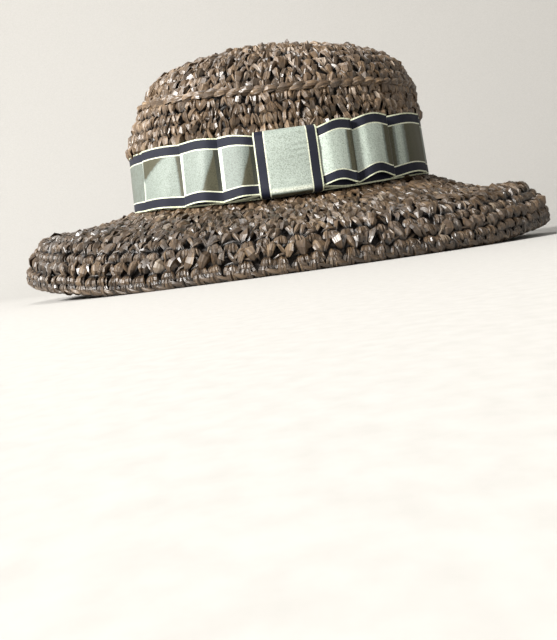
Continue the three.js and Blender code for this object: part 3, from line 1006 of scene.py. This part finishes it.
# A loop's steps on its lower layer, round each of its ends, and on its upper layer
LOWER_STEPS = 70
TURN_STEPS = 7
UPPER_STEPS = 140
# Painted shading values of the ribbon: in painted shade, and on the painted highlight line at a loop's
# left end
SHADED = 0.8
LIT_LINE = -0.6
# How far a loop's lower layer hangs under the band's edge
LOWER_LIFT = -0.3


def loop_shading(name, upper, left, right, shadow, tone):
    """How much painted shade each place of a loop's upper layer has, with a painted highlight line at its
    left end and a painted shadow line past the loop over it.
    """
    if name == "bow_loop_long":
        left_shade = smooth_step(left + 1.76 * SLOPE, 0.90, 1.0)
        right_shade = np.maximum(1 - smooth_step(right, 0.20, 0.30), 1.1 * smooth_step(right, 0.36, 0.54))
    else:
        left_shade = 1 - smooth_step(left + 0.5 * SLOPE, 0.28, 0.38)
        right_shade = np.maximum(smooth_step(right, 0.76, 0.88), 1 - smooth_step(right, 0.06, 0.16))
    painted_shading = np.where(upper > 0, right_shade, left_shade)
    reach = BOW_LOOPS[name]["reach"]
    lit_line = smooth_step(-upper, reach - 2.6, reach - 1.8)
    # painted shadow just past the edge of the loop over it
    shadow_line = 1.5 * (1 - smooth_step(-upper, shadow - 0.7, shadow)) * (upper < 0)
    extra_shading = np.where(upper > 0, 0.0, tone * (1 - painted_shading)) - 0.8 * lit_line + shadow_line
    return np.broadcast_to(painted_shading, extra_shading.shape), painted_shading + extra_shading


def joined(*parts):
    """A loop's lower layer, right end, upper layer and left end, each over the ribbon's whole width."""
    steps = LOWER_STEPS, TURN_STEPS, UPPER_STEPS, TURN_STEPS
    return np.vstack([np.broadcast_to(part, (count, len(RISE))) for part, count in zip(parts, steps)])


def loop_layers(name, reach, floor, covered, puff, lift):
    """The path of a soft loop with its two layers, and its painted shade and highlights along it."""
    gap = 1.2
    shown = reach - covered
    lower = np.linspace(-reach + 1, reach - 2, LOWER_STEPS)[:, None]
    upper = np.linspace(reach - 2, -reach + 1, UPPER_STEPS)[:, None]
    right = np.clip((upper - covered) / shown, 0, 1)
    left = np.clip((-upper - covered) / shown, 0, 1)
    right_rise = smooth_step(right + 0.05 * SLOPE, 0.02, 0.42) * (1 - 0.30 * smooth_step(right, 0.55, 1.0))
    slanted = left + 0.20 * SLOPE
    left_rise = smooth_step(slanted, 0.05, 0.42) * (1 - smooth_step(slanted, 0.40, 1.15))
    wrinkle = 0.12 * np.sin(upper / 2.3 + 3 * SLOPE) * np.sin(upper / 7.0)
    upper_out = floor + gap + puff * (1.15 * right_rise + left_rise) + wrinkle
    raise_right = np.sin(np.pi * 0.88 * right) ** 2 * (0.75 - 0.5 * SLOPE)
    raise_left = 0.35 * np.sin(np.pi * 0.9 * left) ** 2 * (0.75 - 0.5 * SLOPE)
    upper_lift = lift * (raise_right + raise_left)

    turn = np.radians(np.linspace(-75, 75, TURN_STEPS))[:, None]
    middle = 0.5 * (floor + upper_out[:1])
    radius = 0.5 * (upper_out[:1] - floor)
    along = joined(lower, reach - 2 + 2.0 * np.cos(turn), upper, -reach + 1 - 1.0 * np.cos(turn))
    left_out = floor + 0.5 * gap - 0.5 * gap * np.sin(turn)
    out = joined(floor, middle + radius * np.sin(turn), upper_out, left_out)
    raised = joined(
        LOWER_LIFT,
        np.linspace(LOWER_LIFT, upper_lift[0], TURN_STEPS),
        upper_lift,
        np.linspace(upper_lift[-1], LOWER_LIFT, TURN_STEPS),
    )
    shade, painted_shading = loop_shading(name, upper, left, right, *BOW_SHADES[name])
    # painted shade on the lower layer, shading from it into the upper layer round the right end, and a
    # painted highlight at the left end fading into shade
    shading_along = joined(
        SHADED,
        np.linspace(SHADED, shade[0].mean(), TURN_STEPS)[:, None],
        painted_shading,
        np.linspace(LIT_LINE, SHADED, TURN_STEPS)[:, None],
    )
    return along, out, raised, shading_along


def make_bow(ribbon):
    for name, size in BOW_LOOPS.items():
        along, out, lift, painted_shading = loop_layers(name, **size)
        loop, length = ribbon_strip(name + "_cloth", along, out, lift, painted_shading, ribbon, pinched, closed=True)
        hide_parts(name)

    half = RIBBON_WIDTH / 2 + 0.3
    radius = 3.6
    corner = np.radians(np.linspace(0, 90, 7))
    corner_up = half - radius + radius * np.cos(corner)
    corner_out = KNOT_FLOOR - radius + radius * np.sin(corner)
    front = np.linspace(-(half - radius - 1.5), half - radius - 1.5, 34)
    front_out = KNOT_FLOOR + 0.25 * np.sin(front / 4.0)
    end_out = [0.9, 2.5, 4.2, 6.0]
    up = np.concatenate([[-half] * 4, -corner_up, front, corner_up[::-1], [half] * 4])[:, None]
    out = np.concatenate([end_out, corner_out, front_out, corner_out[::-1], end_out[::-1]])[:, None]
    crumple = np.exp(-(((up - 7) / 5.5) ** 2) - ((RISE - 0.30) / 0.13) ** 2)
    crease = 0.34 * crumple * np.sin(1.9 * up + 5 * RISE)
    sag = -0.5 * (2 * SLOPE) ** 4

    def wrapped(up, out, level, lift):
        return on_ribbon((0.5 - level) * KNOT_WIDTH, out, up + RIBBON_WIDTH / 2 + lift)

    # painted shade on the part of the knot that turns under, and a painted highlight line just above it
    turned = 1 - smooth_step(up, -half + 0.6, -half + 1.9)
    lit_line = np.exp(-(((up + half - 3.0) / 0.7) ** 2))
    painted_shading = 0.10 + 0.9 * turned - 0.9 * lit_line
    out = out + crease + sag
    knot, length = ribbon_strip("bow_knot_cloth", up, out, 0.0, painted_shading, ribbon, wrapped, closed=False)
    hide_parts("bow_knot")


# Camera, floor and light


CAMERA_PLACE = Vector((-0.0123, -0.500, 0.010))
CAMERA_LENS = 38.6
# Its pan about z, then its tilt about x, then its roll about y, from looking level along y
CAMERA_TURN = Euler((-0.0929, 0.1365, -0.0118), "ZXY")


def make_camera():
    """The photograph's lens and tilt, from just above the floor at the hat's right side."""
    camera = bpy.data.objects.new("camera", bpy.data.cameras.new("camera"))
    camera.data.sensor_width = 36.0
    camera.data.lens = CAMERA_LENS
    camera.data.clip_start = 0.003
    level = Matrix.Rotation(math.radians(90), 4, "X")
    turned = CAMERA_TURN.to_matrix().to_4x4() @ level
    camera.matrix_world = Matrix.Translation(CAMERA_PLACE) @ turned
    bpy.context.scene.collection.objects.link(camera)
    bpy.context.scene.camera = camera


WARM = (1.0, 0.99, 0.97)
# Name, place, target, size, power and colour of each light
LIGHTS = [
    ("window", (-1.30, -1.00, 0.86), (0, 0, 0.08), (0.40, 0.40), 78.0, (1.0, 0.985, 0.96)),
    ("front", (0.25, -1.9, 0.6), (0, 0, 0.08), (0.6, 0.4), 2.0, (1.0, 0.98, 0.96)),
    ("above", (-0.3, 0.5, 1.5), (0, 0, 0.05), (0.5, 0.5), 8.0, (1.0, 1.0, 1.0)),
    ("rear", (0.9, 1.2, 0.42), (0, 0, 0.08), (0.6, 0.4), 13.0, WARM),
    ("back_wall", (0.2, -1.9, 2.3), (0.2, -3.8, 0.6), (2.2, 0.4), 45.0, WARM),
    ("left_wall", (-0.6, -1.6, 2.3), (-2.6, -1.6, 0.8), (0.4, 2.2), 15.0, WARM),
    ("right_wall", (0.6, -1.6, 2.3), (2.6, -1.6, 0.8), (0.4, 2.2), 15.0, WARM),
]


def make_light():
    bpy.context.scene.view_settings.view_transform = "Standard"
    world = bpy.data.worlds.new("world")
    world.use_nodes = True
    background = world.node_tree.nodes["Background"]
    background.inputs["Color"].default_value = (0.93, 0.96, 1.0, 1)
    background.inputs["Strength"].default_value = 0.045
    bpy.context.scene.world = world
    for name, place, target, size, power, colour in LIGHTS:
        light = bpy.data.objects.new(name, bpy.data.lights.new(name, "AREA"))
        light.data.shape = "RECTANGLE"
        light.data.size, light.data.size_y = size
        light.data.energy = power
        light.data.color = colour
        light.location = place
        light.rotation_euler = (Vector(target) - Vector(place)).to_track_quat("-Z", "Y").to_euler()
        light.visible_camera = False
        bpy.context.scene.collection.objects.link(light)


# The floor's middle, its flat rings, and the curve and top of the wall round it, in metres
FLOOR_MIDDLE = -1.3
FLOOR_RINGS = (0.02, 0.5, 1.1, 1.7)
WALL_CURVE = 0.8
WALL_TOP = 2.6
WALL_SIDES = 64


def make_stage():
    """A pale round floor that curves up into a pale wall."""
    n = Nodes("stage")
    specks = n.noise(400.0, 3.0, n.place())
    pale = n.ramp(specks, [(0.3, (0.430, 0.419, 0.398)), (0.7, (0.470, 0.459, 0.438))])
    n.shade("Base Color", pale)
    n.shade("Roughness", 0.9)
    flat = FLOOR_RINGS[-1]
    turn = np.radians(np.linspace(0, 90, 13))[1:]
    line = [(r, 0.0) for r in FLOOR_RINGS]
    line += [(flat + WALL_CURVE * math.sin(a), WALL_CURVE * (1 - math.cos(a))) for a in turn]
    line += [(flat + WALL_CURVE, WALL_TOP)]
    rays = np.linspace(0, FULL_TURN, WALL_SIDES, endpoint=False)
    vertices = [(r * math.cos(a), r * math.sin(a) + FLOOR_MIDDLE, z) for a in rays for r, z in line]
    count = len(line)
    faces = [tuple(i * count for i in range(WALL_SIDES))]
    for i in range(WALL_SIDES):
        here, following = i * count, (i + 1) % WALL_SIDES * count
        faces += [(here + j, here + j + 1, following + j + 1, following + j) for j in range(count - 1)]
    mesh = bpy.data.meshes.new("floor")
    mesh.from_pydata(vertices, [], faces)
    mesh.polygons.foreach_set("use_smooth", [True] * len(faces))
    mesh.materials.append(n.material)
    floor = bpy.data.objects.new("floor", mesh)
    bpy.context.scene.collection.objects.link(floor)


make_camera()
RAFFIA = raffia_material()
GROUND = ground_material()
RIBBON = ribbon_material()
make_crown(RAFFIA, GROUND)
make_brim(RAFFIA, GROUND)
make_band(RIBBON)
make_bow(RIBBON)
make_stage()
make_light()
